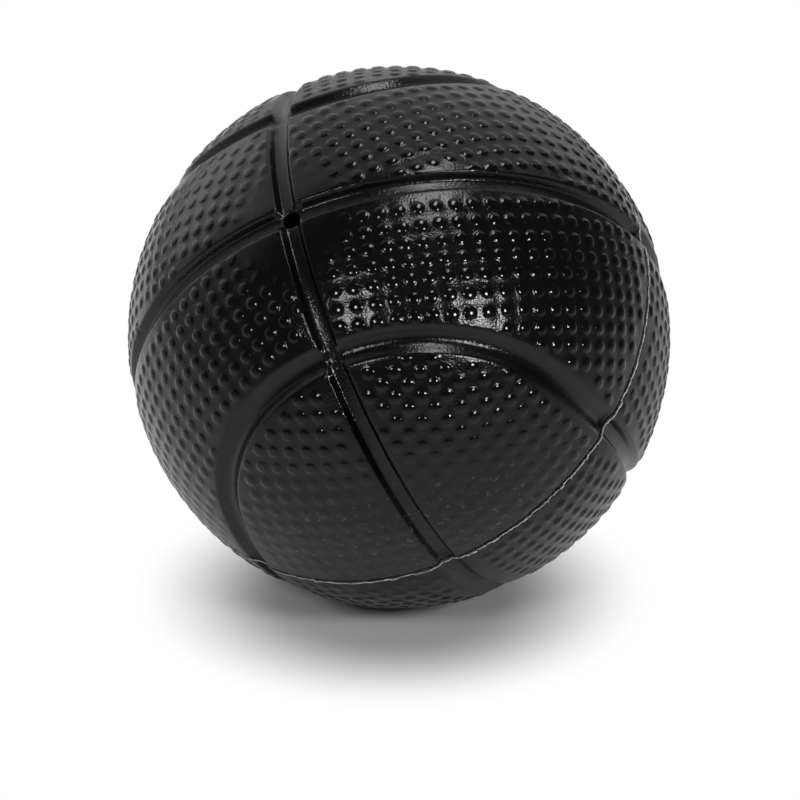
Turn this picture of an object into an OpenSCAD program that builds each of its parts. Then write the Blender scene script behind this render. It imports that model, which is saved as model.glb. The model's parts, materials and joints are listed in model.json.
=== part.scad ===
// Friction ball for opening screw-back watch cases.
// A soft black rubber ball, cemented together from two moulded half shells, with sunken channels
// that part its skin into panels and a self-sealing air valve behind a small needle hole.
// Millimetres, +Z up, origin at the ball's centre, and the ball turned as it lies on the bench.

/* [Ball] */
// Diameter over the panels
ball_d = 63; // [50:1:80]
// Thickness of the rubber wall
wall_t = 4.5; // [3.5:0.5:7]

/* [Straight channels] */
// Width of the two channels that cross at the air hole, from lip to lip
channel_w = 2.5; // [2.2:0.1:3]
// Width of their flat floor
channel_floor_w = 1.5; // [1.2:0.1:1.8]
// Depth of those two channels
channel_depth = 1.1; // [0.8:0.1:1.4]

/* [Lobe channels] */
// Width of the channel that runs round each lobe
loop_w = 3.3; // [2.4:0.1:3.8]
// Depth of the channel that runs round each lobe
loop_depth = 1.2; // [0.8:0.1:1.5]
// Angle at the ball's centre from a lobe's middle to its round ends
loop_end_angle = 57.5; // [55:0.5:61]
// Angle at the ball's centre from a lobe's middle to its straight sides
loop_side_angle = 45; // [40:0.5:47]

/* [Seam] */
// Turn of the plain half against the valve half: at 45, straight channels run into lobe channels
half_turn = 45; // [0:45:135]
// Thickness of the cement between the two half shells
cement_t = 0.3; // [0.2:0.05:0.6]
// Width of the cement bead that is squeezed out of the seam
bead_w = 0.6; // [0.6:0.05:1]
// Height of that bead, outside and inside the wall
bead_h = 0.25; // [0.1:0.05:0.5]

/* [Air valve] */
// Diameter of the needle hole through the wall
needle_hole_d = 2; // [1.6:0.1:2.4]
// Diameter of the valve housing's flange, bonded to the inside of the wall
flange_d = 15; // [13:0.5:18]
// Thickness of the flange, measured on the valve's axis
flange_t = 1.8; // [1.4:0.1:2.4]
// Diameter of the housing's boss
boss_d = 10; // [8.5:0.5:11]
// Length of the housing from the wall to its inner end
housing_len = 9; // [7:0.5:11]
// Diameter of the plug that fills the housing
plug_d = 4.4; // [3.6:0.1:5]
// Diameter of the plug's retaining head
plug_head_d = 7.6; // [6.5:0.1:8]
// Thickness of that head
plug_head_t = 1.6; // [1:0.1:2.5]
// Depth of the funnel that guides the needle into the plug
funnel_depth = 2.5; // [1.5:0.1:4]

/* [Lie on the bench] */
// Lean of the air hole's axis from upright
hole_lean = 42.9; // [0:0.1:90]
// Compass direction in which the hole leans, counted from +X towards +Y
hole_heading = -126.4; // [-180:0.1:180]
// Turn of the ball about the hole's axis
ball_turn = 39.8; // [-180:0.1:180]

/* [Hidden] */
$fn = 96;
ball_r = ball_d / 2;
inner_r = ball_r - wall_t;
bead_r = bead_w / 2;
// The ball's own axes: the hole looks along +Z, the lobes lie round +X and -X, and the seam is the
// plane z = 0. A lobe's straight sides are great circles, and its round ends touch them smoothly.
end_tilt = atan((sin(loop_end_angle) - sin(loop_side_angle)) / cos(loop_end_angle));
end_radius = loop_end_angle - end_tilt;
side_tilt = 90 - loop_side_angle;
end_span = 2 * atan(tan(side_tilt) / sin(end_tilt));
side_span = 2 * atan(tan(end_tilt) / sin(side_tilt));
// The funnel narrows to the closed slit that a needle pushes apart
slit_d = 0.5;
// Turns the sphere's poles away from the channels, into a plain panel
pole_turn = [38, 30, 0];
rubber_black = "#232325";
cement_grey = "#4a4a4c";
housing_black = "#161618";
plug_grey = "#343436";

// Places a piece that is drawn in the ball's own axes as the ball lies on the bench
module at_rest() {
    rotate([0, hole_lean, hole_heading])
        rotate([0, 0, ball_turn])
            children();
}

// Cutter for a flat-floored channel round the ball in the plane z = 0
module straight_channel() {
    half_floor = channel_floor_w / 2;
    half_mouth = channel_w - half_floor;
    rotate_extrude()
        translate([ball_r, 0])
            polygon([
                [-channel_depth, -half_floor],
                [channel_depth, -half_mouth],
                [channel_depth, half_mouth],
                [-channel_depth, half_floor]
            ]);
}

// Cutter for a round-bottomed channel, at an angle from +Z, over a span about +X
module arc_channel(angle_from_axis, span) {
    cut_r = (loop_w * loop_w / 4 + loop_depth * loop_depth) / (2 * loop_depth);
    path_r = ball_r - loop_depth + cut_r;
    rotate([0, 0, -span / 2])
        rotate_extrude(angle = span)
            translate([path_r * sin(angle_from_axis), path_r * cos(angle_from_axis)])
                circle(r = cut_r);
}

// The channel round the lobe on +X: two round ends and two straight sides
module lobe_channel() {
    for (upside = [0, 1])
        mirror([0, 0, upside])
            rotate([0, 90 - end_tilt, 0])
                rotate([0, 0, 180])
                    arc_channel(end_radius, end_span);
    for (flip = [0, 1])
        mirror([0, flip, 0])
            rotate([0, 0, -side_tilt])
                rotate([90, 0, 90])
                    arc_channel(90, side_span);
}

// All the channels: two straight ones that cross at the hole, and one round each lobe
module channels() {
    rotate([90, 0, 0])
        straight_channel();
    rotate([0, 90, 0])
        straight_channel();
    for (flip = [0, 1])
        mirror([flip, 0, 0])
            lobe_channel();
}

// One half of the hollow ball, on +Z, down to its face on the cement
module moulded_half() {
    difference() {
        rotate(pole_turn)
            sphere(r = ball_r);
        rotate(pole_turn)
            sphere(r = inner_r);
        translate([-ball_d, -ball_d, cement_t / 2 - 2 * ball_d])
            cube(2 * ball_d);
        channels();
    }
}

// Half shell with the needle hole where the straight channels cross
module valve_half_shell() {
    color(rubber_black)
        at_rest()
            difference() {
                moulded_half();
                cylinder(d = needle_hole_d, h = ball_d);
            }
}

// Half shell without a hole: the same moulding, turned over
module plain_half_shell() {
    color(rubber_black)
        at_rest()
            rotate([180, 0, half_turn])
                moulded_half();
}

// Cement between the half shells, with the bead that shows as a line round the ball
module seam_cement() {
    color(cement_grey)
        at_rest()
            rotate_extrude() {
                translate([inner_r, -cement_t / 2])
                    square([wall_t, cement_t]);
                translate([ball_r, 0])
                    polygon([[0, -bead_r], [bead_h, -bead_r / 3], [bead_h, bead_r / 3], [0, bead_r]]);
                translate([inner_r, 0])
                    polygon([[0, -bead_r], [0, bead_r], [-bead_h, bead_r / 3], [-bead_h, -bead_r / 3]]);
            }
}

// Flanged rubber housing, bonded to the inside of the wall behind the hole
module valve_housing() {
    color(housing_black)
        at_rest()
            difference() {
                intersection() {
                    rotate(pole_turn)
                        sphere(r = inner_r);
                    union() {
                        translate([0, 0, inner_r - flange_d * flange_d / (8 * inner_r) - flange_t])
                            cylinder(d = flange_d, h = wall_t);
                        translate([0, 0, inner_r - housing_len])
                            cylinder(d = boss_d, h = housing_len);
                    }
                }
                translate([0, 0, inner_r - 2 * housing_len])
                    cylinder(d = plug_d, h = 3 * housing_len);
            }
}

// Self-sealing plug: it fills the housing, and its head holds it in against the air
module valve_plug() {
    color(plug_grey)
        at_rest()
            difference() {
                intersection() {
                    rotate(pole_turn)
                        sphere(r = inner_r);
                    union() {
                        translate([0, 0, inner_r - housing_len])
                            cylinder(d = plug_d, h = housing_len);
                        translate([0, 0, inner_r - housing_len - plug_head_t])
                            cylinder(d = plug_head_d, h = plug_head_t);
                    }
                }
                translate([0, 0, inner_r - funnel_depth])
                    cylinder(d1 = slit_d, d2 = needle_hole_d, h = funnel_depth);
            }
}

valve_half_shell();
plain_half_shell();
seam_cement();
valve_housing();
valve_plug();
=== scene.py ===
# %% [markdown]
# # A rubber friction ball, dressed over its solid parts
# A watchmaker presses this soft black ball on a screwed case back and turns it, and the rubber grips
# where a metal key would slip and scratch. It is moulded in two halves that are cemented together, and
# a needle hole leads to an air valve inside.
# The frame holds the ball as solid parts at their real size. This lesson loads it, makes a detailed skin
# for the two halves and the seam, and leaves the hidden valve parts as they are, with better finishes.

# %% Load the frame
import json
import math
from collections import namedtuple

import bmesh
import bpy
import numpy as np
from mathutils import Matrix, Vector
from mathutils.geometry import delaunay_2d_cdt
from mathutils.kdtree import KDTree


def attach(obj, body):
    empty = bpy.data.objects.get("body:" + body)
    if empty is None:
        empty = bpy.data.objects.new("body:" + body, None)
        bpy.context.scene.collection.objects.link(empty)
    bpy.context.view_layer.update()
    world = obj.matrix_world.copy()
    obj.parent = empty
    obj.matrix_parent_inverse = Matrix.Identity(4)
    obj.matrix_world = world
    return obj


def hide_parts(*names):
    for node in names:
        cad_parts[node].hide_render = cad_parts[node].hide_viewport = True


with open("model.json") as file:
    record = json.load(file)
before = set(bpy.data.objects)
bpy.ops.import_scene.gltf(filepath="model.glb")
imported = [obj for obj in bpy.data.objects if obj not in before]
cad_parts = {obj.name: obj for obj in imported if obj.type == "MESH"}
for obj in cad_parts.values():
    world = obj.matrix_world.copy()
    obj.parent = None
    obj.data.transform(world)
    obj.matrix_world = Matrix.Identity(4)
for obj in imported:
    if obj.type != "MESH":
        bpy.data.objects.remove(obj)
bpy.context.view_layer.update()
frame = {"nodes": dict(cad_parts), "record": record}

print("solid parts:", sorted(frame["nodes"]))

# %% [markdown]
# ## Size, and how the ball lies
# The ball rolled to rest with its hole up and to the left. It is far easier to shape it upright, with
# the hole at the pole, and to turn it at the end. So all shaping below is done in millimetres in the
# ball's own axes: the hole looks along +Z, two lobes lie round +X and -X, and the seam is the plane z = 0.
# The radius, the hole and its direction are read from the frame's mounts, so they can't drift apart.

# %% The ball's axes
MM = 0.001
mounts = {mount["name"]: mount for mount in frame["record"]["mounts"]}
BALL_R = mounts["palm_grip"]["pos_m"][2] / MM
HOLE_R = mounts["air_hole"]["dims"]["r_mm"]
hole_axis = Vector(mounts["air_hole"]["axis"]).normalized()
# Turn of the ball about its hole and of the plain half against the valve half, in degrees
BALL_TURN = 39.8
HALF_TURN = 45
# The rubber wall and the cement film, in millimetres
WALL_T = 4.5
CEMENT_T = 0.3


def turned(degrees, axis):
    return Matrix.Rotation(math.radians(degrees), 3, axis)


lean = Matrix.Rotation(math.acos(hole_axis.z), 3, "Y")
heading = Matrix.Rotation(math.atan2(hole_axis.y, hole_axis.x), 3, "Z")
LIE = np.array(heading @ lean @ turned(BALL_TURN, "Z"))
# Both halves are one moulding: the plain one is turned over, and turned so that other channels meet
TURNS = {"valve_half": np.eye(3), "plain_half": np.array(turned(HALF_TURN, "Z") @ turned(180, "X"))}
PLACES = {half: LIE @ turn for half, turn in TURNS.items()}
INNER_R = BALL_R - WALL_T
print(f"ball of {2 * BALL_R:.1f} mm, hole axis in the room:", np.round(LIE[:, 2], 3))

# %% [markdown]
# ## The channels as a rule
# Sunken channels part the skin into panels. Two run round the whole ball and cross at the hole, and one
# runs round each lobe: two great-circle sides that blend into two round ends.
# A boolean cut would leave knife edges and ragged faces. Instead, a formula gives the depth of the skin in
# any direction: how far is the nearest channel, and what is its cross-section there? A section is a flat
# floor between two sloping walls, and square roots round its corners and its lips.

# %% Cross-section of a channel
# Width from lip to lip, width of the floor, depth, and how softly the lips are rounded
Section = namedtuple("Section", "width floor depth lip")
CHANNEL = Section(width=2.5, floor=1.5, depth=1.1, lip=0.18)
LOOP = Section(width=3.3, floor=0.9, depth=1.05, lip=0.13)
CORNER = 0.25


def sunk(distance, section):
    """Depth of the skin at a distance from a channel's middle line."""
    slope = section.depth / ((section.width - section.floor) / 2)
    wall = slope * (section.width / 2 - np.abs(distance))
    bare = (wall + section.depth - np.sqrt((wall - section.depth) ** 2 + CORNER**2)) / 2
    return (bare + np.sqrt(bare**2 + section.lip**2)) / 2


across = np.array([0, 0.6, 1.0, 1.25, 1.5])
print("depth of a straight channel", across, "mm from its middle:", np.round(sunk(across, CHANNEL), 2))

# %% [markdown]
# ## Where the channels run
# On a ball, a distance along the skin is an angle times the radius. A straight channel is a great circle,
# and the angle from its plane is enough. A lobe's channel could be traced as a curve, but arcs describe it
# exactly: each has an axis of its own, and the plane through two axes tells which arc is near. Each half
# is alike in its four corners, so a direction is first folded into one of them.

# %% Distances from the channels
# Angles from a lobe's middle to its round ends and to its straight sides
LOOP_END, LOOP_SIDE = math.radians(57.5), math.radians(45)
END_TILT = math.atan((math.sin(LOOP_END) - math.sin(LOOP_SIDE)) / math.cos(LOOP_END))
END_RADIUS = LOOP_END - END_TILT
SIDE_TILT = math.pi / 2 - LOOP_SIDE
END_HALF = math.atan(math.tan(SIDE_TILT) / math.sin(END_TILT))
SIDE_HALF = math.atan(math.tan(END_TILT) / math.sin(SIDE_TILT))
END_AXIS = np.array([math.cos(END_TILT), 0, math.sin(END_TILT)])
SIDE_AXIS = np.array([math.cos(SIDE_TILT), -math.sin(SIDE_TILT), 0])
JOIN_PLANE = np.cross(SIDE_AXIS, END_AXIS)


def angle_to(ways, axis):
    return np.arccos(np.clip(ways @ axis, -1, 1))


def distances(ways):
    """Distances along the skin from both straight channels, from the loop and from the seam.

    The distance from the loop is negative inside a lobe.
    """
    first = BALL_R * np.arcsin(np.abs(ways[:, 1]))
    second = BALL_R * np.arcsin(np.abs(ways[:, 0]))
    folded = np.abs(ways)
    from_end = angle_to(folded, END_AXIS) - END_RADIUS
    from_side = angle_to(folded, SIDE_AXIS) - math.pi / 2
    loop = BALL_R * np.where(folded @ JOIN_PLANE > 0, from_end, from_side)
    seam = BALL_R * np.arcsin(folded[:, 2])
    return first, second, loop, seam


north = np.array([[0.0, 0.0, 1.0]])
print("from the hole to the loops:", np.round(distances(north)[2], 2), "mm")

# %% [markdown]
# ## The skin's depth in any direction
# Where two channels meet, the deeper one wins, with the ridge between them rounded a little. At the seam
# each mould half closes its channels with a sloping end, so a low web crosses every channel under the
# seam line. The edges at the seam and at the hole are rounded, as rubber comes out of a mould, and the
# valve half's edge falls away so far at the seam that a narrow groove is left beside the cement.

# %% Depth of the skin
RIDGE_R = 0.3
# The web in a channel: its share of the channel's depth, and how far its slope reaches from the seam
WEB_SHARE = 0.4
WEB_REACH = 0.9
# Depth and reach of the rounded edge at the seam
SEAM_ROLL = {"valve_half": (0.75, 0.5), "plain_half": (0.25, 0.35)}
# Radius of the rounded edge at the hole
RIM_R = 0.2


def ease(value, start, end):
    """0 before start, 1 after end, and a smooth step between them."""
    share = np.clip((value - start) / (end - start), 0, 1)
    return share * share * (3 - 2 * share)


def deeper(a, b):
    """The deeper of two channels, with the ridge where they meet rounded."""
    rounding = np.minimum(RIDGE_R, np.minimum(a, b))
    overlap = np.maximum(rounding - np.abs(a - b), 0)
    return np.maximum(a, b) + overlap**2 / (4 * np.maximum(rounding, 1e-6))


def channel_depth(ways):
    """Depth of the channels alone, with their webs at the seam."""
    first, second, loop, seam = distances(ways)
    crossing = deeper(sunk(first, CHANNEL), sunk(second, CHANNEL))
    web = WEB_SHARE + (1 - WEB_SHARE) * ease(seam, CEMENT_T / 2, WEB_REACH)
    return web * deeper(crossing, sunk(loop, LOOP))


def skin_radius(ways, half):
    """Radius of the bare skin, before its pimples."""
    roll, reach = SEAM_ROLL[half]
    radius = BALL_R - channel_depth(ways) - roll * (1 - ease(distances(ways)[3], 0, reach))
    if half == "valve_half":
        from_rim = np.hypot(ways[:, 0], ways[:, 1]) * radius - HOLE_R
        inside = np.clip(RIM_R - from_rim, 0, RIM_R)
        radius = radius - np.where(ways[:, 2] > 0, RIM_R - np.sqrt(RIM_R**2 - inside**2), 0)
    return radius


print("depth beside the hole:", np.round(channel_depth(north), 2), "mm")

# %% [markdown]
# ## Where the pimples stand
# The panels are covered with small round pimples in square rows. The rows were laid out panel by panel in
# the mould, so each panel has its own turn, and rows run into the lips where a panel ends.
# A lattice is drawn flat and wrapped on the ball from the middle of each panel: distance and direction
# from the middle stay true, so rows hardly bend. Each panel has its turn in degrees and the place of
# one pimple, in millimetres from the middle.

# %% Rows of pimples
BAND_PITCH, LOBE_PITCH = 2.17, 2.1
# Middle of a panel beside the first channel, between second channel and loop, and of a panel in a lobe
BAND_MIDDLE = np.array([0.35, 0.55, 0.75])
LOBE_MIDDLE = np.array([0.80, 0.40, 0.40])
# For each half: panel kind, side in x, side in y, turn of its rows, place of one pimple
PANELS = {
    "valve_half": [
        ("band", 1, 1, 2.0, (-2.9, 8.0)),
        ("band", 1, -1, 3.0, (-3.3, 8.0)),
        ("band", -1, 1, 13.5, (0.1, 1.0)),
        ("band", -1, -1, -13.0, (0.0, 0.0)),
        ("lobe", 1, 1, 5.5, (1.4, 3.45)),
        ("lobe", 1, -1, 0.0, (1.7, 4.2)),
        ("lobe", -1, 1, 28.0, (0.0, 0.0)),
        ("lobe", -1, -1, -20.0, (0.0, 0.0)),
    ],
    "plain_half": [
        ("band", 1, 1, -10.0, (0.0, 0.0)),
        ("band", 1, -1, 6.0, (0.5, 0.0)),
        ("band", -1, 1, 4.0, (0.0, 0.5)),
        ("band", -1, -1, -9.0, (1.0, 0.0)),
        ("lobe", 1, 1, 10.0, (0.0, 1.0)),
        ("lobe", 1, -1, -6.0, (0.5, 0.5)),
        ("lobe", -1, 1, 12.0, (1.0, 1.0)),
        ("lobe", -1, -1, -3.0, (0.0, 0.0)),
    ],
}
# Most rows that a panel needs to each side of its middle
ROWS = 14
ROW_JITTER = 0.035
PIMPLE_SEED = 7


def unit(vectors):
    return vectors / np.linalg.norm(vectors, axis=-1, keepdims=True)


def wrap(flat, middle, up):
    """Directions of flat points that are wrapped on the ball round a panel's middle."""
    up = unit(up - middle * (up @ middle))
    right = np.cross(up, middle)
    reach = np.linalg.norm(flat, axis=1, keepdims=True)
    heading = (flat[:, :1] * right + flat[:, 1:] * up) / np.maximum(reach, 1e-9)
    return np.cos(reach / BALL_R) * middle + np.sin(reach / BALL_R) * heading


def lattice(kind, side_x, side_y, turn, place, dice):
    """Directions of one panel's square rows, before they are cut to the panel."""
    sides = np.array([side_x, side_y, 1])
    middle = unit((BAND_MIDDLE if kind == "band" else LOBE_MIDDLE) * sides)
    up = np.array([-1.0, 0, 0]) if kind == "band" else np.array([0, 0, 1.0])
    pitch = BAND_PITCH if kind == "band" else LOBE_PITCH
    steps = np.arange(-ROWS, ROWS + 1) * pitch
    rows = np.stack(np.meshgrid(steps, steps), axis=-1).reshape(-1, 2)
    rows = rows + dice.normal(0, ROW_JITTER, rows.shape)
    cos, sin = math.cos(math.radians(turn)), math.sin(math.radians(turn))
    return wrap(rows @ np.array([[cos, sin], [-sin, cos]]) + place, middle, up)


print("panels with rows of their own:", {half: len(panels) for half, panels in PANELS.items()})

# %% [markdown]
# ## Cutting the rows to their panels
# A pimple is kept where its middle stands clear of the lips and of the seam. Its height also fades near a
# lip, beside the hole, where the mould is bare, and on the side of a lobe that use has rubbed low and
# dull. The fade is kept as a number on every vertex, because the tree that raises the pimples needs it
# at each point.

# %% Fading near lips, seam and hole, and where the ball is worn
# How far a pimple's middle stands from a lip and from the seam, and the share of height it must keep
CENTRE_CLEAR = {"valve_half": 0.45, "plain_half": 1.0}
SEAM_CLEAR = 1.15
FADED_OUT = 0.05
# Distances from a lip and from the seam over which pimples fade
LIP_FADE = 0.4
SEAM_FADE = (0.3, 0.8)
# How far from the hole the bare corners reach, and the larger one to the hole's left
BARE_CORNER = (4.2, 10.0)
BARE_LEFT = (5.0, 11.0)
# Middle of the worn patch beside the lobe's own channel and over the seam, how far the patch reaches, how
# much longer it is than high, and the share of a pimple's height that is left there
WORN_BESIDE, WORN_UP = -7.0, 5.0
WORN_REACH = (7.0, 14.5)
WORN_LENGTH = {"valve_half": 2.2, "plain_half": 1.2}
WORN_SHARE = 0.4
# How dull the plain half is all over: that side seems to have been pressed on case backs
PLAIN_DULL = 0.6


def clear_of_lips(ways):
    """Distance from the nearest channel's lip, negative in the channel."""
    first, second, loop, _ = distances(ways)
    return np.minimum(np.minimum(first, second) - CHANNEL.width / 2, np.abs(loop) - LOOP.width / 2)


def worn(ways, half):
    """1 where use has rubbed the lobe on +X, falling to 0 around it."""
    x, y, z = BALL_R * (ways @ TURNS[half].T).T
    away = np.hypot((y - WORN_BESIDE) / WORN_LENGTH[half], z - WORN_UP)
    return np.where(x > 0, 1 - ease(away, *WORN_REACH), 0)


def dullness(ways, half):
    """1 where rubbing has taken the gloss, 0 where the mould's polish is left."""
    return np.maximum(worn(ways, half), PLAIN_DULL if half == "plain_half" else 0)


def panel_share(ways, half):
    """1 on a panel, falling to 0 at its lips, at the seam and in the bare corners at the hole."""
    share = ease(clear_of_lips(ways), 0, LIP_FADE) * ease(distances(ways)[3], *SEAM_FADE)
    if half == "valve_half":
        from_hole = BALL_R * angle_to(ways, north[0])
        left = (ways[:, 0] > 0) & (ways[:, 1] < 0)
        share = share * np.where(left, ease(from_hole, *BARE_LEFT), ease(from_hole, *BARE_CORNER))
    return share * (1 - (1 - WORN_SHARE) * worn(ways, half))


def pimple_ways(half):
    """Directions of all the pimples on one half, with its pole up."""
    dice = np.random.default_rng(PIMPLE_SEED + len(half))
    kept = []
    for kind, side_x, side_y, turn, place in PANELS[half]:
        ways = lattice(kind, side_x, side_y, turn, np.array(place), dice)
        _, _, loop, seam = distances(ways)
        in_panel = (ways[:, 0] * side_x > 0) & (ways[:, 1] * side_y > 0) & (ways[:, 2] > 0)
        in_panel &= (loop < 0) == (kind == "lobe")
        in_panel &= (clear_of_lips(ways) > CENTRE_CLEAR[half]) & (seam > SEAM_CLEAR)
        kept.append(ways[in_panel & (panel_share(ways, half) > FADED_OUT)])
    return np.vstack(kept)


pimples = {half: pimple_ways(half) for half in PANELS}
print("pimples:", {half: len(ways) for half, ways in pimples.items()})

# %% [markdown]
# ## Points for the skin
# A grid of latitude and longitude would waste faces at the pole and never follow the channels. The skin
# is meshed from chosen points instead: lines of points along every channel, close together at the lips,
# rings round every pimple, and a loose filling between. A Delaunay triangulation will join them. The
# outermost ring stands just past a pimple's foot, which keeps the skin between pimples flat.

# %% Points along the channels
ALONG_STEP = 0.55
# Lines of points beside the middle line, as shares of half a channel's width
LINE_SHARES = (0, 0.3, 0.48, 0.6, 0.7, 0.79, 0.87, 0.94, 1.0, 1.07, 1.16, 1.3)


def offsets(width):
    """Distances from the middle line, on both sides, at which a channel gets lines of points."""
    return sorted({sign * share * width / 2 for share in LINE_SHARES for sign in (-1, 1)})


def arcs(axis, zero, spreads, half_angle):
    """Lines side by side along a circle, with points abreast so that no triangle skips a line."""
    middle = sum(spreads) / len(spreads)
    count = round(2 * half_angle * math.sin(middle) * BALL_R / ALONG_STEP)
    angles = np.linspace(-half_angle, half_angle, count)[:, None]
    spokes = np.cos(angles) * zero + np.sin(angles) * np.cross(axis, zero)
    return np.vstack([math.cos(spread) * axis + math.sin(spread) * spokes for spread in spreads])


def channel_lines():
    """Lines of points along each channel over the upper half, one array for each channel."""
    lines = []
    for axis in np.array([[0.0, 1, 0], [1.0, 0, 0]]):
        spreads = [math.pi / 2 - off / BALL_R for off in offsets(CHANNEL.width)]
        lines.append(arcs(axis, north[0], spreads, math.pi / 2))
    for side in (-1, 1):
        across = [off / BALL_R for off in offsets(LOOP.width)]
        axis = END_AXIS * [side, 1, 1]
        zero = np.array([-side * END_AXIS[2], 0, END_AXIS[0]])
        lines.append(arcs(axis, zero, [END_RADIUS + off for off in across], END_HALF))
        for flip in (-1, 1):
            axis = SIDE_AXIS * [side, flip, 1]
            zero = np.array([side * -SIDE_AXIS[1], flip * SIDE_AXIS[0], 0])
            lines.append(arcs(axis, zero, [math.pi / 2 + off for off in across], SIDE_HALF))
    return lines


print("points along the channels:", sum(map(len, channel_lines())))

# %% Points round the pimples, along the seam and at the hole
PIMPLE_R = 0.8
# A direction that no pimple has, from which the points of a ring are counted
ASKEW = (0.3, 0.5, 0.8)
RING_RADII = PIMPLE_R * np.array([0.45, 0.72, 0.9, 1.0, 1.1])
RING_POINTS = (8, 11, 13, 13, 13)
SEAM_POINTS = 600
# Heights over the seam plane of the rows of points that shape its edge
SEAM_ROWS = (CEMENT_T / 2, 0.19, 0.24, 0.3, 0.38, 0.5, 0.7)
HOLE_POINTS = 48
# Distances from the hole's edge of the rings of points that shape its rim
HOLE_RINGS = (0, 0.05, 0.11, RIM_R, 0.4)


def ring_points(ways):
    """Each pimple's middle and the rings of points round it."""
    beside = unit(np.cross(ways, ASKEW))
    other = np.cross(ways, beside)
    found = [ways]
    for radius, count in zip(RING_RADII, RING_POINTS):
        for angle in np.arange(count) * 2 * math.pi / count + radius:
            spoke = math.cos(angle) * beside + math.sin(angle) * other
            found.append(unit(ways + spoke * radius / BALL_R))
    return np.vstack(found)


def circle(count, spread):
    """Directions round the pole at an angle from it."""
    angles = np.arange(count) * 2 * math.pi / count
    flat, height = math.sin(spread), np.full(count, math.cos(spread))
    return np.stack([flat * np.cos(angles), flat * np.sin(angles), height], axis=1)


def seam_points():
    return np.vstack([circle(SEAM_POINTS, math.pi / 2 - row / BALL_R) for row in SEAM_ROWS])


def hole_points():
    floor = BALL_R - CHANNEL.depth
    return np.vstack([circle(HOLE_POINTS, math.asin((HOLE_R + ring) / floor)) for ring in HOLE_RINGS])


def filling(count, lowest):
    """An even spiral of directions over the upper half."""
    index = np.arange(count) + 0.5
    height = 1 - index / count * (1 - lowest)
    angle = index * math.pi * (3 - math.sqrt(5))
    flat = np.sqrt(1 - height**2)
    return np.stack([flat * np.cos(angle), flat * np.sin(angle), height], axis=1)


print("points round the pimples:", {half: len(ring_points(ways)) for half, ways in pimples.items()})

# %% [markdown]
# ## Joining the points into a skin
# A remesh would blur the lips, so the chosen points are joined as they are, except for those too close to
# others. Looked at from the opposite pole, the half ball is a flat disc (a stereographic view), and a
# Delaunay triangulation of that disc is also right on the ball.

# %% Points and triangles of the skin
FILL_COUNT = 12000
# Least distance of a new point from those already kept
CROWDED = {"channel": 0.14, "pimple": 0.2, "filling": 0.5}
# Height over the seam's own rows at which the other points start
ROWS_CLEAR = 0.2


def spaced(points, kept, gap):
    """The points that lie at least a gap, in millimetres, from every kept one."""
    tree = KDTree(len(kept))
    for index, way in enumerate(kept):
        tree.insert(way, index)
    tree.balance()
    return points[[tree.find(way)[2] > gap / BALL_R for way in points]]


def skin_points(half):
    """Directions of the outer skin's points: the seam's edge first, then the hole's rim."""
    lowest = math.sin((SEAM_ROWS[-1] + ROWS_CLEAR) / BALL_R)
    kept = seam_points()
    if half == "valve_half":
        kept = np.vstack([kept[:SEAM_POINTS], hole_points(), kept[SEAM_POINTS:]])
    bare = (HOLE_R + HOLE_RINGS[-1]) / BALL_R if half == "valve_half" else 0
    for line in channel_lines():
        line = line[(line[:, 2] > lowest) & (angle_to(line, north[0]) > bare)]
        kept = np.vstack([kept, spaced(line, kept, CROWDED["channel"])])
    rings = ring_points(pimples[half])
    rings = rings[(rings[:, 2] > lowest) & (clear_of_lips(rings) > 0)]
    kept = np.vstack([kept, spaced(rings, kept, CROWDED["pimple"])])
    loose = filling(FILL_COUNT, lowest)
    loose = loose[angle_to(loose, north[0]) > bare]
    return np.vstack([kept, spaced(loose, kept, CROWDED["filling"])])


def triangles(ways):
    """Delaunay triangles of directions on the upper half ball, facing outwards."""
    flat = ways[:, :2] / (1 + ways[:, 2:])
    _, _, faces, origin, _, _ = delaunay_2d_cdt([Vector(point) for point in flat], [], [], 0, 1e-9)
    return [[origin[corner][0] for corner in face] for face in faces]


skins = {half: skin_points(half) for half in PANELS}
print("points of each skin:", {half: len(ways) for half, ways in skins.items()})

# %% [markdown]
# ## One closed half shell
# A mould releases each half as one solid. A Solidify modifier would copy every channel to the inside, where
# a mould's core leaves the wall smooth. So the outer skin, the seam face, a plain inner wall and the bore
# of the hole are sewn together from their rings of points, and the shell is closed.

# %% Sewing a half shell
INNER_COUNT = 1500
INNER_LOWEST, INNER_GAP = 0.02, 0.9
BORE_ROWS = 4
SHARP_ANGLE = math.radians(55)


def strip(first, second):
    """Quads between two rings of vertex numbers."""
    return [[first[i - 1], first[i], second[i], second[i - 1]] for i in range(len(first))]


def inner_wall(holed):
    """Directions of the inner wall's points: the seam's edge first, then the hole's rim."""
    kept = circle(SEAM_POINTS, math.acos(CEMENT_T / 2 / INNER_R))
    if holed:
        kept = np.vstack([kept, circle(HOLE_POINTS, math.asin(HOLE_R / INNER_R))])
    return np.vstack([kept, spaced(filling(INNER_COUNT, INNER_LOWEST), kept, INNER_GAP)])


def bored(faces, points):
    """Opens the hole in the outer and the inner wall, and joins their rims with a bore."""
    start = len(points[0])
    rim = np.arange(SEAM_POINTS, SEAM_POINTS + HOLE_POINTS)
    on_rim = set(rim) | set(rim + start)
    faces = [face for face in faces if not on_rim.issuperset(face)]
    rings = [rim]
    for row in range(1, BORE_ROWS):
        share = row / BORE_ROWS
        rings.append(np.arange(HOLE_POINTS) + sum(map(len, points)))
        points.append(points[0][rim] * (1 - share) + points[1][rim] * share)
    rings.append(rim + start)
    for upper, lower in zip(rings, rings[1:]):
        faces += strip(upper, lower)
    return faces, points


def keep_numbers(mesh, numbers):
    """Keeps named numbers on a mesh's first vertices, and 0 on the rest."""
    for label, values in numbers.items():
        column = mesh.attributes.new(label, "FLOAT", "POINT")
        column.data.foreach_set("value", np.pad(values, (0, len(mesh.vertices) - len(values))))


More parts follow.
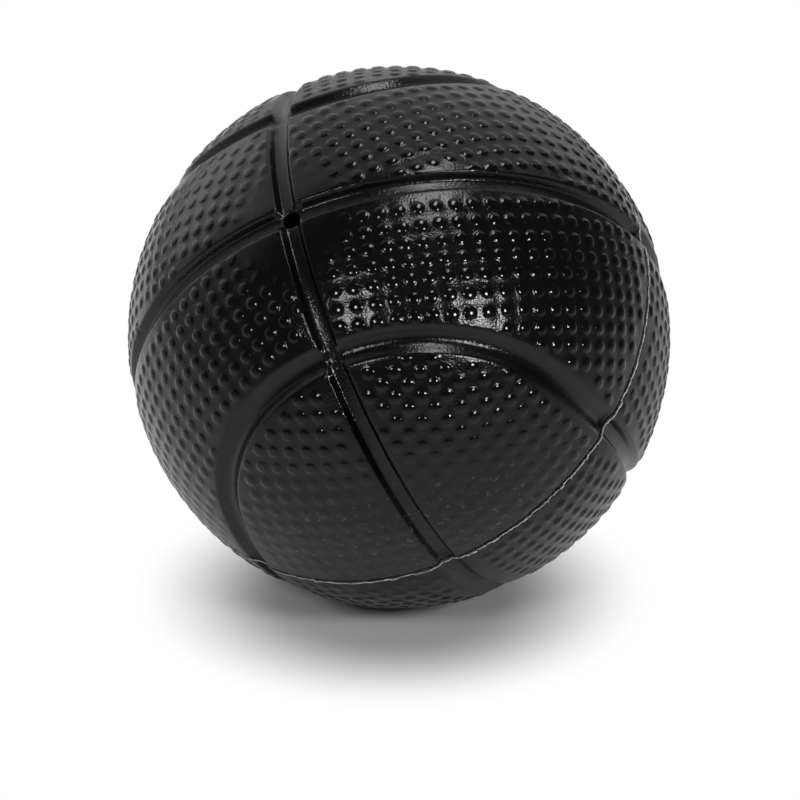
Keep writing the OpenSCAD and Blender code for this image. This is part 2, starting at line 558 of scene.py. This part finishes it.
def half_shell(name, half):
    """One half as a closed mesh, with its fading and its channels kept as numbers on the vertices."""
    holed = half == "valve_half"
    outer, inner = skins[half], inner_wall(holed)
    start, edge = len(outer), np.arange(SEAM_POINTS)
    faces = triangles(outer) + [[start + i for i in face[::-1]] for face in triangles(inner)]
    faces += strip(edge, edge + start)
    points = [outer * skin_radius(outer, half)[:, None], inner * INNER_R]
    if holed:
        faces, points = bored(faces, points)
    mesh = bpy.data.meshes.new(name)
    mesh.from_pydata((np.vstack(points) @ PLACES[half].T * MM).tolist(), [], faces)
    keep_numbers(mesh, {
        "panel": panel_share(outer, half),
        "dull": dullness(outer, half),
        "channel": channel_depth(outer) / CHANNEL.depth,
        "skin": ease(distances(outer)[3], CEMENT_T / 2, SEAM_ROLL[half][1]),
    })
    return mesh


def tidy(mesh):
    """Turns all faces outwards and smooths them, with real edges kept sharp."""
    work = bmesh.new()
    work.from_mesh(mesh)
    bmesh.ops.recalc_face_normals(work, faces=work.faces)
    open_edges = sum(not edge.is_manifold for edge in work.edges)
    print(f"{mesh.name}: {len(work.faces)} faces, {open_edges} open edges, "
          f"{work.calc_volume(signed=True) / MM**3:.0f} mm3")
    work.to_mesh(mesh)
    work.free()
    mesh.shade_smooth()
    mesh.set_sharp_from_angle(angle=SHARP_ANGLE)


def add_piece(name, data):
    piece = bpy.data.objects.new(name, data)
    bpy.context.scene.collection.objects.link(piece)
    return piece


valve_half = add_piece("valve_half_rubber", half_shell("valve_half_rubber", "valve_half"))
plain_half = add_piece("plain_half_rubber", half_shell("plain_half_rubber", "plain_half"))
for piece in (valve_half, plain_half):
    tidy(piece.data)

# %% [markdown]
# ## Small tools for node trees
# Materials and Geometry Nodes are both node trees, so a few short helpers serve them all. They feed a
# socket with a link or a plain value, add a node, do a sum with numbers or vectors, map one range to
# another, and make noise with lumps of a real size.

# %% Node helpers
def feed(tree, value, socket):
    if isinstance(value, bpy.types.NodeSocket):
        tree.links.new(value, socket)
    else:
        socket.default_value = value


def add_node(tree, kind, sockets=(), **settings):
    """A new node with its settings made and its sockets fed, by name or by number."""
    made = tree.nodes.new(kind)
    for label, value in settings.items():
        setattr(made, label, value)
    for label, value in dict(sockets).items():
        feed(tree, value, made.inputs[label])
    return made


def reckon(tree, operation, *values):
    return add_node(tree, "ShaderNodeMath", enumerate(values), operation=operation).outputs[0]


def times(tree, first, second):
    return reckon(tree, "MULTIPLY", first, second)


def vector_math(tree, operation, *values):
    made = add_node(tree, "ShaderNodeVectorMath", enumerate(values), operation=operation)
    return made.outputs["Vector"]


def scaled(tree, vector, factor):
    """A vector made longer or shorter by a number."""
    made = add_node(tree, "ShaderNodeVectorMath", {0: vector, "Scale": factor}, operation="SCALE")
    return made.outputs["Vector"]


def between(tree, value, low, high, to_low, to_high, smooth=False):
    """Maps a value from one range to another, held at the ends."""
    sockets = enumerate((value, low, high, to_low, to_high))
    kind = "SMOOTHSTEP" if smooth else "LINEAR"
    return add_node(tree, "ShaderNodeMapRange", sockets, interpolation_type=kind).outputs[0]


def cloudy(tree, vector, size_mm, detail=2.0):
    """Noise whose lumps are about a size across, as a number from 0 to 1."""
    sockets = {"Vector": vector, "Scale": 1 / (size_mm * MM), "Detail": detail}
    return add_node(tree, "ShaderNodeTexNoise", sockets).outputs["Fac"]


print("node helpers ready")

# %% [markdown]
# ## Black moulded rubber
# The rubber is nearly black, and what makes it readable is its gloss. The mould was polished, so the skin
# mirrors the lamps, but a fine unevenness breaks each mirror image into specks. Handling leaves a faint
# grey bloom in clouds, the channels keep some dust and a coarser grain, and the pimples' crowns are smooth.
# The plain half is duller all over, and the places that use has rubbed also show small pale scuffs.
# The material reads Object coordinates for the clouds, and the numbers kept on the vertices for
# channels, crowns and rubbed places, so the finish follows the shape.

# %% Shell rubber
# Greys of the clean rubber, of its bloom, of dust in a channel and of a scuff
CLEAN, BLOOM, DUST, SCUFF = 0.0006, 0.0016, 0.003, 0.055
# Roughness of the mould's polish, what rubbing adds to it and what a smooth crown takes off
POLISH = (0.14, 0.2)
RUBBED_ADDS, CROWN_TAKES = 0.25, 0.08
# Size and depth of the skin's ripples and of its grain, in millimetres
RIPPLE_SIZE, RIPPLE_DEPTH = 0.9, 0.007
GRAIN_SIZE, GRAIN_DEPTH = 0.22, 0.03
# How strongly each half mirrors
MIRRORING = {"valve_half": 0.26, "plain_half": 0.18}


def new_finish(name):
    """A new material with its tree, its shader's sockets and the piece's own coordinates."""
    material = bpy.data.materials.new(name)
    material.use_nodes = True
    tree = material.node_tree
    place = add_node(tree, "ShaderNodeTexCoord").outputs["Object"]
    return material, tree, tree.nodes["Principled BSDF"].inputs, place


def mixed(tree, share, first, second):
    """A colour between two colours."""
    made = add_node(tree, "ShaderNodeMix", {"Factor": share, "A": first, "B": second}, data_type="RGBA")
    return made.outputs["Result"]


def kept_number(tree, label):
    return add_node(tree, "ShaderNodeAttribute", attribute_name=label).outputs["Fac"]


def bumped(tree, height, depth_mm, below=None):
    """A bump of a real depth, laid over another one if there is one below."""
    sockets = {"Distance": depth_mm * MM, "Height": height}
    if below is not None:
        sockets["Normal"] = below
    return add_node(tree, "ShaderNodeBump", sockets).outputs["Normal"]


def grey(level):
    return (level, level, level * 1.04, 1)


def shell_rubber(name, mirroring):
    material, tree, shader, place = new_finish(name)
    shader["Specular IOR Level"].default_value = mirroring
    clouds = between(tree, cloudy(tree, place, 14, 4), 0.35, 0.7, 0, 1)
    bloom = mixed(tree, clouds, grey(CLEAN), grey(BLOOM))
    channel, crown, dull = (kept_number(tree, label) for label in ("channel", "crown", "dull"))
    dust = times(tree, channel, between(tree, clouds, 0, 1, 0.3, 0.8))
    dusty = mixed(tree, dust, bloom, grey(DUST))
    strokes = between(tree, cloudy(tree, place, 0.6, 4), 0.62, 0.72, 0, 1)
    scuffs = times(tree, strokes, between(tree, dull, PLAIN_DULL, 1, 0, 1))
    feed(tree, mixed(tree, scuffs, dusty, grey(SCUFF)), shader["Base Color"])
    gloss = between(tree, cloudy(tree, place, 3, 3), 0.3, 0.7, *POLISH)
    polished = between(tree, crown, 0, 0.5, 0, 1)
    for number, change in ((dull, RUBBED_ADDS), (polished, -CROWN_TAKES)):
        gloss = reckon(tree, "ADD", gloss, times(tree, number, change))
    feed(tree, gloss, shader["Roughness"])
    ripples = bumped(tree, cloudy(tree, place, RIPPLE_SIZE, 1), RIPPLE_DEPTH)
    coarse = between(tree, channel, 0, 1, 1, 1.3)
    rough = times(tree, between(tree, crown, 0, 0.3, 1, 0.1), coarse)
    grain = times(tree, cloudy(tree, place, GRAIN_SIZE, 1), rough)
    feed(tree, bumped(tree, grain, GRAIN_DEPTH, ripples), shader["Normal"])
    return material


rubbers = {
    "valve_half": shell_rubber("moulded_rubber", MIRRORING["valve_half"]),
    "plain_half": shell_rubber("dull_moulded_rubber", MIRRORING["plain_half"]),
}
print("made", *(rubber.name for rubber in rubbers.values()))

# %% [markdown]
# ## Tools for geometry trees
# Two trees shape this ball: one raises the pimples and one tears the seam. Both start with named inputs, so
# that every size can be set on the modifier, and both end alike. They share the nodes for that.

# %% Start and end of a geometry tree
def new_tree(name, sizes):
    """A geometry tree with named inputs, and its group input and output nodes."""
    tree = bpy.data.node_groups.new(name, "GeometryNodeTree")
    tree.interface.new_socket("Geometry", in_out="INPUT", socket_type="NodeSocketGeometry")
    for label, kind in sizes.items():
        tree.interface.new_socket(label, in_out="INPUT", socket_type=f"NodeSocket{kind}")
    tree.interface.new_socket("Geometry", in_out="OUTPUT", socket_type="NodeSocketGeometry")
    return tree, add_node(tree, "NodeGroupInput").outputs, add_node(tree, "NodeGroupOutput").inputs


def finish_tree(tree, geometry, shift, material, output):
    """Ends a tree: the vertices move, instances become real and the finish is set."""
    sockets = {"Geometry": geometry, "Offset": shift}
    moved = add_node(tree, "GeometryNodeSetPosition", sockets).outputs["Geometry"]
    real = add_node(tree, "GeometryNodeRealizeInstances", {"Geometry": moved}).outputs["Geometry"]
    sockets = {"Geometry": real, "Material": material}
    painted = add_node(tree, "GeometryNodeSetMaterial", sockets).outputs["Geometry"]
    feed(tree, painted, output["Geometry"])


def stored_number(tree, label):
    made = add_node(tree, "GeometryNodeInputNamedAttribute", {"Name": label}, data_type="FLOAT")
    return made.outputs["Attribute"]


print("geometry tree tools ready")

# %% [markdown]
# ## Raising the pimples
# About two thousand pimples follow one rule, so a Geometry Nodes tree raises them out of the skin: each
# vertex looks for the nearest point of the lattice, and its distance gives its height on a low button
# with a flat crown and a small fillet at its foot. Every pimple has a slightly different height, as in a
# worn mould, from a seeded random value. The same tree adds a slow swell, because a soft ball is never
# truly round.
# Raising the one skin keeps it closed. Setting separate domes on it would leave hidden seams.

# %% A tree that raises pimples
def button(tree, away, base, height, fullness):
    """Height of a button at a distance from its middle, negative outside its base."""
    spread = reckon(tree, "POWER", reckon(tree, "DIVIDE", away, base), fullness)
    return times(tree, height, reckon(tree, "SUBTRACT", 1, spread))


def own_share(tree, given, points):
    """A vertex's share of the full height, drawn once for each pimple and read from the nearest one."""
    # Sockets 2 and 3 hold the least and the most of a random plain number
    sockets = {2: given["Least Share"], 3: 1, "Seed": given["Seed"]}
    share = add_node(tree, "FunctionNodeRandomValue", sockets, data_type="FLOAT").outputs[1]
    nearest = add_node(tree, "GeometryNodeSampleNearest", {"Geometry": points}, domain="POINT")
    sockets = {"Geometry": points, "Value": share, "Index": nearest.outputs["Index"]}
    own = add_node(tree, "GeometryNodeSampleIndex", sockets, data_type="FLOAT", domain="POINT")
    return own.outputs["Value"]


def slow_swell(tree, given, place):
    """A slow rise and fall of the skin that comes to rest at the seam."""
    sockets = {"Vector": place, "Scale": reckon(tree, "DIVIDE", 1, given["Swell Size"])}
    noise = add_node(tree, "ShaderNodeTexNoise", sockets).outputs["Fac"]
    swell = times(tree, reckon(tree, "SUBTRACT", noise, 0.5), given["Swell"])
    return times(tree, swell, stored_number(tree, "skin"))


def pimple_tree():
    tree, given, output = new_tree("raise_pimples", {
        "Lattice": "Object", "Height": "Float", "Base Radius": "Float", "Fullness": "Float",
        "Fillet": "Float", "Least Share": "Float", "Seed": "Int", "Swell": "Float",
        "Swell Size": "Float", "Finish": "Material",
    })
    points = add_node(tree, "GeometryNodeObjectInfo", {"Object": given["Lattice"]}).outputs["Geometry"]
    near = add_node(tree, "GeometryNodeProximity", {0: points}, target_element="POINTS")
    cap = button(tree, near.outputs["Distance"], given["Base Radius"], given["Height"], given["Fullness"])
    fading = times(tree, stored_number(tree, "panel"), own_share(tree, given, points))
    raised = times(tree, reckon(tree, "SMOOTH_MAX", cap, 0, given["Fillet"]), fading)
    crown = times(tree, between(tree, cap, 0, given["Height"], 0, 1), fading)
    sockets = {"Geometry": given["Geometry"], "Name": "crown", "Value": crown}
    marked = add_node(tree, "GeometryNodeStoreNamedAttribute", sockets, data_type="FLOAT", domain="POINT")
    place = add_node(tree, "GeometryNodeInputPosition").outputs["Position"]
    lift = reckon(tree, "ADD", raised, slow_swell(tree, given, place))
    shift = scaled(tree, vector_math(tree, "NORMALIZE", place), lift)
    finish_tree(tree, marked.outputs["Geometry"], shift, given["Finish"], output)
    return tree


raise_pimples = pimple_tree()
print("made", raise_pimples.name, "with", len(raise_pimples.nodes), "nodes")

# %% [markdown]
# ## Pimples on both halves
# On the real ball, the mould gives each half its pimples. The tree runs as a modifier, with its named
# inputs set by their identifiers. The modifier could stay, but the result is kept as a plain mesh.

# %% Raise them on both halves
PIMPLE_H = 0.2
# 2 makes round caps, and more makes flatter crowns with steeper sides
PIMPLE_FULLNESS = 3.5
PIMPLE_FILLET = 0.03
LEAST_SHARE = 0.8
SWELL, SWELL_SIZE = 0.06, 9.0


def grow(piece, tree, values):
    """Runs a tree on a piece with its inputs set by identifier, and keeps the result as a plain mesh."""
    modifier = piece.modifiers.new(tree.name, "NODES")
    modifier.node_group = tree
    for socket in tree.interface.items_tree:
        if socket.in_out == "INPUT" and socket.name in values:
            modifier[socket.identifier] = values[socket.name]
    graph = bpy.context.evaluated_depsgraph_get()
    mesh = bpy.data.meshes.new_from_object(
        piece.evaluated_get(graph), preserve_all_data_layers=True, depsgraph=graph
    )
    mesh.name = piece.name
    piece.modifiers.clear()
    piece.data = mesh


def lattice_object(half):
    """The pimples' middles as loose points on the ball, for the tree to look up."""
    mesh = bpy.data.meshes.new(half + "_lattice")
    mesh.from_pydata((pimples[half] @ PLACES[half].T * BALL_R * MM).tolist(), [], [])
    return add_piece(mesh.name, mesh)


for piece, half in ((valve_half, "valve_half"), (plain_half, "plain_half")):
    points = lattice_object(half)
    grow(piece, raise_pimples, {
        "Lattice": points, "Height": PIMPLE_H * MM, "Base Radius": PIMPLE_R * MM,
        "Fullness": PIMPLE_FULLNESS, "Fillet": PIMPLE_FILLET * MM, "Least Share": LEAST_SHARE,
        "Seed": PIMPLE_SEED, "Swell": SWELL * MM, "Swell Size": SWELL_SIZE * MM, "Finish": rubbers[half],
    })
    bpy.data.objects.remove(points)
    size = np.round(piece.dimensions / MM, 2)
    print(piece.name, "has", len(piece.data.polygons), "faces and is", size, "mm")

# %% [markdown]
# ## The cemented seam
# Where the halves were pressed together, cement squeezed out and was trimmed, which left a thin torn line
# round the ball. It dips a little where it crosses a channel. A curve with a bevel could draw it, but its
# points couldn't keep the numbers that say where it is torn and pale. So the ring is swept from a section
# of its own: a film between the halves, with a small bead outside.

# %% Sweep the seam ring
RING_STEPS = 1600
BEAD_H = 0.1
# How deep under the skin the section still dips with the channels
DIP_DEPTH = 1.0
# Section of the ring, from the valve half to the plain half: distance out from the skin, height over the
# seam plane, how far it may be torn, and how pale it is. Pale on the crest is partly a painted highlight,
# and 0 low in the groove beside the valve half paints that groove's shade black
half_film = CEMENT_T / 2
seam_section = np.array([
    (-0.6, half_film, 0, 0), (-0.3, 0.11, 0.4, 0), (-0.02, 0.07, 1, 0), (BEAD_H, 0.03, 1, 1),
    (BEAD_H, -0.06, 1, 1), (0, -0.12, 1, 0.6), (-0.2, -0.14, 0.4, 0), (-0.6, -half_film, 0, 0),
    (-0.5 * WALL_T, -half_film, 0, 0), (0.1 - WALL_T, -half_film, 0, 0), (-0.1 - WALL_T, 0, 0, 0),
    (0.1 - WALL_T, half_film, 0, 0), (-0.5 * WALL_T, half_film, 0, 0),
])


def seam_ring(name):
    """The film of cement and its bead, swept round the ball and lowered with the channels' webs."""
    around = circle(RING_STEPS, math.pi / 2)
    plain_side = around @ np.array(turned(HALF_TURN, "Z"))
    dip = (channel_depth(around) + channel_depth(plain_side)) / 2
    out, up, torn, pale = seam_section.T
    radius = BALL_R + out[None, :] - dip[:, None] * (out > -DIP_DEPTH)[None, :]
    points = around[:, None, :] * radius[:, :, None] + up[None, :, None] * north[0]
    count = len(seam_section)
    rings = [np.arange(count) + step * count for step in range(RING_STEPS)]
    faces = [face for step in range(RING_STEPS) for face in strip(rings[step - 1], rings[step])]
    mesh = bpy.data.meshes.new(name)
    mesh.from_pydata((points.reshape(-1, 3) @ LIE.T * MM).tolist(), [], faces)
    # The pale number paints the crest's highlight, and where it is 0 it paints the groove's shade black
    keep_numbers(mesh, {"torn": np.tile(torn, RING_STEPS), "pale": np.tile(pale, RING_STEPS)})
    tidy(mesh)
    return mesh


seam = add_piece("seam_bead", seam_ring("seam_bead"))

# %% [markdown]
# ## The cement's finish, with painted shade and a painted highlight
# Cured cement is nearly black where it sits low, and in the groove beside the valve half that black is
# painted shade. The crest that the blade tore is pale grey, partly torn cement and partly a painted
# highlight. A drawn line would need an image, so the section says how pale each point is, and noise breaks
# up the line.

# %% Cement finish
# Black of the cement, which low in the groove is painted shade, and grey of the crest, partly a painted
# highlight
CEMENT_DARK_AND_PAINTED_SHADE, CEMENT_PALE_AND_PAINTED_HIGHLIGHT = 0.004, 0.48


def seam_cement():
    material, tree, shader, place = new_finish("seam_cement")
    scuffs = between(tree, cloudy(tree, place, 0.6, 4), 0.38, 0.62, 0.35, 1)
    # Painted light: pale grey on the crest is partly a painted highlight, and black low in the groove is
    # painted shade
    pale = times(tree, scuffs, kept_number(tree, "pale"))
    feed(tree, mixed(tree, pale, grey(CEMENT_DARK_AND_PAINTED_SHADE), grey(CEMENT_PALE_AND_PAINTED_HIGHLIGHT)), shader["Base Color"])
    feed(tree, between(tree, cloudy(tree, place, 0.4), 0.3, 0.7, 0.35, 0.6), shader["Roughness"])
    feed(tree, bumped(tree, cloudy(tree, place, 0.12), 0.01), shader["Normal"])
    return material


cement = seam_cement()
print("made", cement.name)

# %% [markdown]
# ## Tearing the bead
# A trimmed bead is torn in short steps. Nearly two hundred millimetres of it could be sculpted by hand, but
# a second tree does it evenly: cells along the line each step the bead sideways and up or down, by a seeded
# random value.

# %% Tear the bead
TEAR_DRIFT, TEAR_RISE, TEAR_SIZE = 0.26, 0.1, 1.0
TEAR_SEED = 3.0
# Added to the seed for the second draw in each cell
SECOND_DRAW = 50


def tear_tree():
    tree, given, output = new_tree("tear_bead", {
        "Drift": "Float", "Rise": "Float", "Tear Size": "Float", "Ball Radius": "Float",
        "Axis": "Vector", "Seed": "Float", "Finish": "Material",
    })
    place = add_node(tree, "GeometryNodeInputPosition").outputs["Position"]
    torn = stored_number(tree, "torn")
    flat = vector_math(tree, "SUBTRACT", place, vector_math(tree, "PROJECT", place, given["Axis"]))
    outwards = vector_math(tree, "NORMALIZE", flat)
    fineness = reckon(tree, "DIVIDE", given["Ball Radius"], given["Tear Size"])
    cells = add_node(tree, "ShaderNodeTexVoronoi", {"Vector": outwards, "Scale": fineness})
    shifts = []
    for extra, size, direction in ((0, "Drift", given["Axis"]), (SECOND_DRAW, "Rise", outwards)):
        sockets = {"Vector": cells.outputs["Position"], "W": reckon(tree, "ADD", given["Seed"], extra)}
        dice = add_node(tree, "ShaderNodeTexWhiteNoise", sockets, noise_dimensions="4D").outputs["Value"]
        amount = times(tree, reckon(tree, "SUBTRACT", dice, 0.5), given[size])
        shifts.append(scaled(tree, direction, times(tree, amount, torn)))
    finish_tree(tree, given["Geometry"], vector_math(tree, "ADD", *shifts), given["Finish"], output)
    return tree


grow(seam, tear_tree(), {
    "Drift": TEAR_DRIFT * MM, "Rise": TEAR_RISE * MM, "Tear Size": TEAR_SIZE * MM,
    "Ball Radius": BALL_R * MM, "Axis": tuple(LIE[:, 2]), "Seed": TEAR_SEED, "Finish": cement,
})
print(seam.name, "has", len(seam.data.polygons), "faces")

# %% [markdown]
# ## The valve behind the hole
# The housing and its plug are plain turned shapes that hardly show, so the solid parts stay. They still get
# a real finish, because the part may be opened on a bench: matt moulded rubber with a fine grain, and a
# paler, softer one for the plug that a needle pushes apart.

# %% Valve finishes
def matt_rubber(name, dark, pale, rough):
    material, tree, shader, place = new_finish(name)
    clouds = between(tree, cloudy(tree, place, 2.5, 3), 0.35, 0.65, 0, 1)
    feed(tree, mixed(tree, clouds, grey(dark), grey(pale)), shader["Base Color"])
    feed(tree, between(tree, clouds, 0, 1, rough, rough + 0.15), shader["Roughness"])
    feed(tree, bumped(tree, cloudy(tree, place, 0.2), 0.01), shader["Normal"])
    return material


for node, material in (
    ("valve_housing", matt_rubber("housing_rubber", 0.009, 0.016, 0.5)),
    ("valve_plug", matt_rubber("soft_plug_rubber", 0.025, 0.04, 0.55)),
):
    for place in frame["nodes"][node].material_slots:
        place.material = material
    print(node, "wears", material.name)

# %% [markdown]
# ## Riding on the frame
# The ball has no joints: its halves, cement and valve are bonded into one body. Each new piece rides on
# that body and hides the solid part that it stands for.

# %% Ride on the body and hide the solid parts
for piece, node, finish in (
    (valve_half, "valve_half_shell", "shell_rubber"),
    (plain_half, "plain_half_shell", "shell_rubber"),
    (seam, "seam_cement", "cement"),
):
    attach(piece, "root")
    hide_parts(node)
    print(piece.name, "replaces", node)

# %% [markdown]
# ## Floor
# The ball lies on a plain pale floor. To the camera, and in reflections, the floor glows pure white a
# little away from the ball. The glow fades out towards the ball, which paints the soft edge of its shadow,
# and only close under the ball is the shadow real. Farther off, outside the picture, the glow fades as
# painted light falloff, and the floor is its own pale grey again. Light that the floor throws back on the
# ball isn't changed.

# %% White floor with a shadow
# Half the floor's width in metres, and its own grey
FLOOR_R = 6.0
FLOOR_PALE = 0.5
# Middle of the painted shadow, and the distances from it between which the floor turns white, in ball
# radii: the fade of the white paints the shadow's soft edge
PAINTED_SHADOW_AT = (-0.02, -0.11, 0)
PAINTED_SHADOW_EDGE_FROM, PAINTED_SHADOW_EDGE_TO = 0.4, 1.0
# Middle of the white, behind the ball, and the distances from it between which it fades as painted light
# falloff, in metres
PAINTED_FALLOFF_AT = (0, 0.07, 0)
PAINTED_FALLOFF_FROM, PAINTED_FALLOFF_TO = 0.135, 0.26


def floor_finish():
    material = bpy.data.materials.new("floor_white")
    material.use_nodes = True
    tree = material.node_tree
    tree.nodes.clear()
    place = add_node(tree, "ShaderNodeTexCoord").outputs["Object"]
    radius = BALL_R * MM

    def away_from(spot):
        made = add_node(tree, "ShaderNodeVectorMath", {0: place, 1: spot}, operation="DISTANCE")
        return made.outputs["Value"]

    from_shadow = away_from(Vector(PAINTED_SHADOW_AT) * radius)
    # Painted shadow: the glow fades out towards the ball and draws the soft edge of its shadow
    glow_past_painted_shadow = between(tree, from_shadow, PAINTED_SHADOW_EDGE_FROM * radius, PAINTED_SHADOW_EDGE_TO * radius, 0, 1, smooth=True)
    # Painted light falloff: far from the ball the glow fades to the floor's own grey
    near = between(tree, away_from(PAINTED_FALLOFF_AT), PAINTED_FALLOFF_FROM, PAINTED_FALLOFF_TO, 1, 0, smooth=True)
    light_path = add_node(tree, "ShaderNodeLightPath").outputs
    seen = reckon(tree, "MAXIMUM", light_path["Is Camera Ray"], light_path["Is Glossy Ray"])
    seen = reckon(tree, "MAXIMUM", seen, light_path["Is Transmission Ray"])
    floor_grey = (FLOOR_PALE, FLOOR_PALE, FLOOR_PALE, 1)
    diffuse = add_node(tree, "ShaderNodeBsdfDiffuse", {"Color": floor_grey}).outputs[0]
    glow = add_node(tree, "ShaderNodeEmission").outputs[0]
    share = times(tree, times(tree, glow_past_painted_shadow, near), seen)
    mix = add_node(tree, "ShaderNodeMixShader", {0: share, 1: diffuse, 2: glow}).outputs[0]
    add_node(tree, "ShaderNodeOutputMaterial", {"Surface": mix})
    return material


floor_mesh = bpy.data.meshes.new("floor")
corners = [(x * FLOOR_R, y * FLOOR_R, 0) for x, y in ((-1, -1), (1, -1), (1, 1), (-1, 1))]
floor_mesh.from_pydata(corners, [], [(0, 1, 2, 3)])
floor_mesh.materials.append(floor_finish())
floor = add_piece("floor", floor_mesh)
floor.location.z = -BALL_R * MM
print("floor at", round(floor.location.z / MM, 2), "mm")

# %% [markdown]
# ## Light
# Black gloss shows its surroundings, so the lamps are placed by what the ball mirrors: a wide soft box
# overhead gives the rows of specks on the upper panels and the soft shadow, two smaller lamps in front
# give the bright patches on the middle panel, and pale walls behind and to the left lift the rim.

# %% Lamps and surroundings
# Each lamp's direction from the ball, its distance, width and height in metres, and its brightness
LAMPS = {
    "overhead": ((0.190, -0.05, 0.983), 0.6, 0.26, 0.13, 12.5),
    "front_right": ((0.533, -0.712, 0.459), 0.7, 0.12, 0.12, 57),
    "front_left": ((-0.336, -0.778, 0.530), 0.7, 0.135, 0.135, 29),
    "wall_behind": ((-0.15, 0.75, 0.66), 1.0, 2.4, 1.6, 0.74),
    "wall_left": ((-0.85, 0.45, 0.25), 1.0, 1.2, 0.9, 0.42),
}
# Brightness of the room at the horizon and overhead, and how high up it stops changing
HORIZON_LEVEL, ROOM_LEVEL = 0.4, 0.12
HORIZON_UP = 0.15


def soft_box(name, direction, distance, width, height, radiance):
    """A rectangular lamp that faces the ball, with its brightness as seen in a mirror."""
    light = bpy.data.lights.new(name, "AREA")
    light.shape = "RECTANGLE"
    light.size, light.size_y = width, height
    light.energy = radiance * math.pi * width * height
    lamp = add_piece(name, light)
    towards = Vector(direction).normalized()
    lamp.location = towards * distance
    lamp.rotation_euler = towards.to_track_quat("Z", "Y").to_euler()
    lamp.visible_camera = False


def surroundings():
    """A dim room that is lighter at the horizon."""
    world = bpy.data.worlds.new("surroundings")
    bpy.context.scene.world = world
    world.use_nodes = True
    tree = world.node_tree
    direction = add_node(tree, "ShaderNodeTexCoord").outputs["Generated"]
    height = add_node(tree, "ShaderNodeSeparateXYZ", {0: direction}).outputs["Z"]
    level = between(tree, height, 0, HORIZON_UP, HORIZON_LEVEL, ROOM_LEVEL, smooth=True)
    background = tree.nodes["Background"].inputs
    background["Color"].default_value = (1, 1, 1, 1)
    feed(tree, level, background["Strength"])


for name, numbers in LAMPS.items():
    soft_box(name, *numbers)
surroundings()

# %% [markdown]
# ## Camera
# A long lens from about a metre, 25 degrees above the floor. The ball sits above the middle of the
# square picture, so the camera is slid down a little rather than tilted.

# %% Camera
CAMERA_AWAY, CAMERA_UP = 1.0, math.radians(25)
# Width of the sensor in millimetres, and the farthest distance drawn in metres
SENSOR_W, FARTHEST = 36, 20
# Radius and centre of the ball in a picture of 800 by 800 pixels
PICTURE, SEEN_R, SEEN_X, SEEN_Y = 800, 270, 399, 337
camera = add_piece("camera", bpy.data.cameras.new("camera"))
bpy.context.scene.camera = camera
back = Vector((0, -math.cos(CAMERA_UP), math.sin(CAMERA_UP)))
turn = back.to_track_quat("Z", "Y")
pixel = BALL_R * MM / SEEN_R
slide = turn @ Vector(((PICTURE / 2 - SEEN_X) * pixel, (SEEN_Y - PICTURE / 2) * pixel, 0))
camera.location = back * CAMERA_AWAY + slide
camera.rotation_euler = turn.to_euler()
camera.data.sensor_width = SENSOR_W
seen_half = PICTURE / 2 / SEEN_R * math.tan(math.asin(BALL_R * MM / CAMERA_AWAY))
camera.data.lens = camera.data.sensor_width / 2 / seen_half
camera.data.clip_end = FARTHEST
print(f"lens {camera.data.lens:.0f} mm")

# %% Set the view and finish
bpy.context.scene.view_settings.view_transform = "Standard"
bpy.context.view_layer.update()
